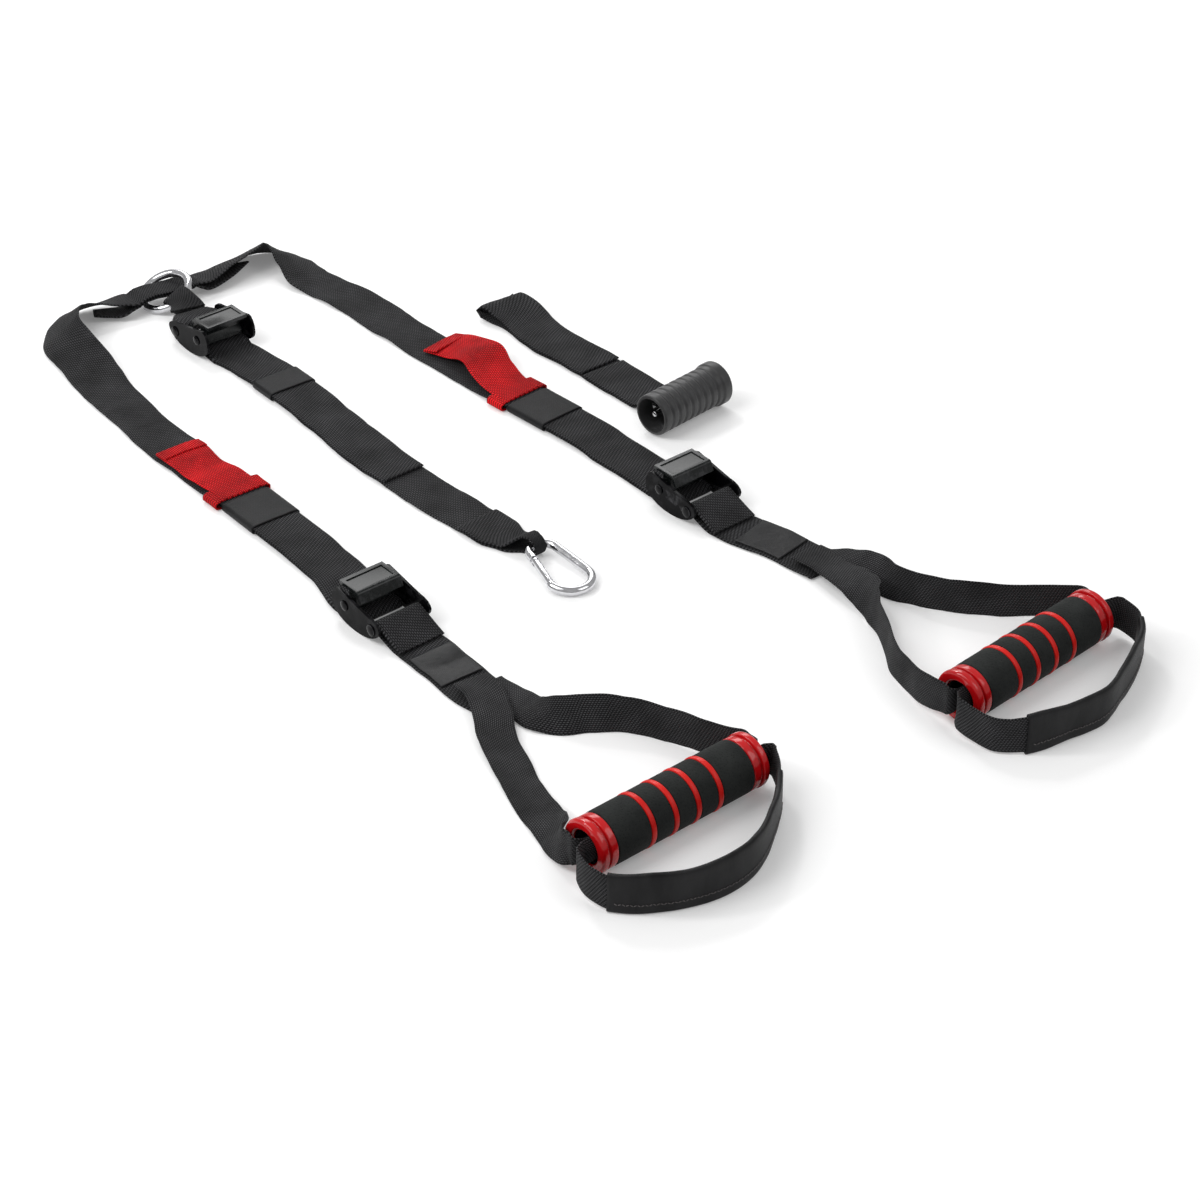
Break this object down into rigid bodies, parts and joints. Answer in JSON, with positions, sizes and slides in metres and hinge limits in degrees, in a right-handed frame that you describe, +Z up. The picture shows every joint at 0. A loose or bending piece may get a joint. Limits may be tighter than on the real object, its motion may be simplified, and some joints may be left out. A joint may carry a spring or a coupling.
{
  "type": "suspension trainer",
  "caption": "Suspension trainer laid flat: webbing legs from a ring through cam buckles to foam handles with foot loops, an anchor strap with snap hook, and a loose door anchor.",
  "frame": {"origin": "on the floor, at the middle of the trainer's box", "axes": "+Z up, +Y from the handles towards the ring, +X to the right of that"},
  "size_m": [0.445, 0.8734, 0.0368],
  "materials": {
    "webbing": "woven matt black",
    "red_webbing": "woven matt red",
    "keeper": "coated smooth black",
    "sleeve": "smooth black tube",
    "label": "smooth bare patch",
    "black_metal": "satin black coating",
    "dark_steel": "dark plated",
    "spring_steel": "drawn wire",
    "polished_steel": "polished",
    "foam": "matt closed-cell foam",
    "red_plastic": "gloss",
    "black_plastic": "moulded matt"
  },
  "bodies": {
    "harness": {"leg_webbing": "webbing", "ring_doubler": "webbing", "anchor_webbing": "webbing", "ring_loop": "webbing", "fixed_webbing_left": "webbing", "handle_webbing_left": "webbing", "label_left": "label", "pull_tab_left": "red_webbing", "fixed_webbing_right": "webbing", "handle_webbing_right": "webbing", "label_right": "label", "pull_tab_right": "red_webbing", "buckle_frame_left": "black_metal", "pivot_pin_left": "dark_steel", "webbing_bar_left": "dark_steel", "cam_spring_left": "spring_steel", "buckle_frame_right": "black_metal", "pivot_pin_right": "dark_steel", "webbing_bar_right": "dark_steel", "cam_spring_right": "spring_steel", "buckle_frame_anchor": "black_metal", "pivot_pin_anchor": "dark_steel", "webbing_bar_anchor": "dark_steel", "cam_spring_anchor": "spring_steel"},
    "ring": {"strap_ring": "polished_steel"},
    "hook": {"snap_hook": "polished_steel", "gate_pin": "dark_steel"},
    "gate": {"hook_gate": "polished_steel"},
    "door_stop": {"door_tube": "black_plastic", "door_pin": "polished_steel", "door_webbing": "webbing"},
    "cam_left": {"cam_lever_left": "black_metal"},
    "keeper_left": {"keeper_left": "keeper"},
    "cam_right": {"cam_lever_right": "black_metal"},
    "keeper_right": {"keeper_right": "keeper"},
    "cam_anchor": {"cam_lever_anchor": "black_metal"},
    "keeper_anchor": {"keeper_anchor": "keeper"},
    "grip_left": {"grip_core_left": "black_plastic", "foam_grip_left": "foam", "grip_band_left_1": "red_plastic", "grip_band_left_2": "red_plastic", "grip_band_left_3": "red_plastic", "grip_band_left_4": "red_plastic", "end_cap_left_near": "red_plastic", "end_cap_left_far": "red_plastic"},
    "foot_left": {"foot_loop_left": "webbing", "loop_sleeve_left": "sleeve"},
    "grip_right": {"grip_core_right": "black_plastic", "foam_grip_right": "foam", "grip_band_right_1": "red_plastic", "grip_band_right_2": "red_plastic", "grip_band_right_3": "red_plastic", "grip_band_right_4": "red_plastic", "end_cap_right_near": "red_plastic", "end_cap_right_far": "red_plastic"},
    "foot_right": {"foot_loop_right": "webbing", "loop_sleeve_right": "sleeve"}
  },
  "joints": [
    {"name": "cam_left_press", "type": "hinge", "parent": "harness", "child": "cam_left", "pos_m": [-0.13865, -0.03693, 0.0146], "axis": [1, 0, 0], "range_deg": [0, 35], "stiffness_Nm_per_rad": 0.1, "springref_deg": -20.05},
    {"name": "cam_right_press", "type": "hinge", "parent": "harness", "child": "cam_right", "pos_m": [0.11431, -0.06092, 0.0146], "axis": [1, 0, 0], "range_deg": [0, 35], "stiffness_Nm_per_rad": 0.1, "springref_deg": -20.05},
    {"name": "cam_anchor_press", "type": "hinge", "parent": "harness", "child": "cam_anchor", "pos_m": [-0.01365, 0.32105, 0.0146], "axis": [-1, 0, 0], "range_deg": [0, 35], "stiffness_Nm_per_rad": 0.1, "springref_deg": -20.05},
    {"name": "hook_swing", "type": "hinge", "parent": "harness", "child": "hook", "pos_m": [-0.01116, -0.05144, 0.0072], "axis": [1, 0, 0], "range_deg": [-90, 90]},
    {"name": "gate_open", "type": "hinge", "parent": "hook", "child": "gate", "pos_m": [-0.02337, -0.06799, 0.00608], "axis": [0, -0.0675, 0.9977], "range_deg": [0, 25], "stiffness_Nm_per_rad": 0.05, "springref_deg": -22.92},
    {"name": "ring_spin", "type": "hinge", "parent": "harness", "child": "ring", "pos_m": [-0.00665, 0.40651, 0.01095], "axis": [-0.4067, 0, 0.9136], "continuous": true},
    {"name": "grip_left_spin", "type": "hinge", "parent": "harness", "child": "grip_left", "pos_m": [-0.13917, -0.33748, 0.0184], "axis": [0.9998, 0.0175, 0], "continuous": true},
    {"name": "foot_left_lift", "type": "hinge", "parent": "harness", "child": "foot_left", "pos_m": [-0.13917, -0.33748, 0.0184], "axis": [-0.9998, -0.0175, 0], "range_deg": [0, 90], "deforming": ["foot_loop_left"]},
    {"name": "grip_right_spin", "type": "hinge", "parent": "harness", "child": "grip_right", "pos_m": [0.13783, -0.36844, 0.0184], "axis": [0.9973, 0.0732, 0], "continuous": true},
    {"name": "foot_right_lift", "type": "hinge", "parent": "harness", "child": "foot_right", "pos_m": [0.13783, -0.36844, 0.0184], "axis": [-0.9973, -0.0732, 0], "range_deg": [0, 90], "deforming": ["foot_loop_right"]},
    {"name": "keeper_left_slide", "type": "slide", "parent": "harness", "child": "keeper_left", "axis": [-0.0305, -0.9995, 0], "range_m": [0, 0.025]},
    {"name": "keeper_right_slide", "type": "slide", "parent": "harness", "child": "keeper_right", "axis": [0.0588, -0.9983, 0], "range_m": [0, 0.025]},
    {"name": "keeper_anchor_slide", "type": "slide", "parent": "harness", "child": "keeper_anchor", "axis": [-0.0315, -0.9995, 0], "range_m": [0, 0.02]},
    {"name": "door_stop_lift", "type": "slide", "parent": "harness", "child": "door_stop", "axis": [0, 0, 1], "range_m": [0, 0.3]}
  ]
}
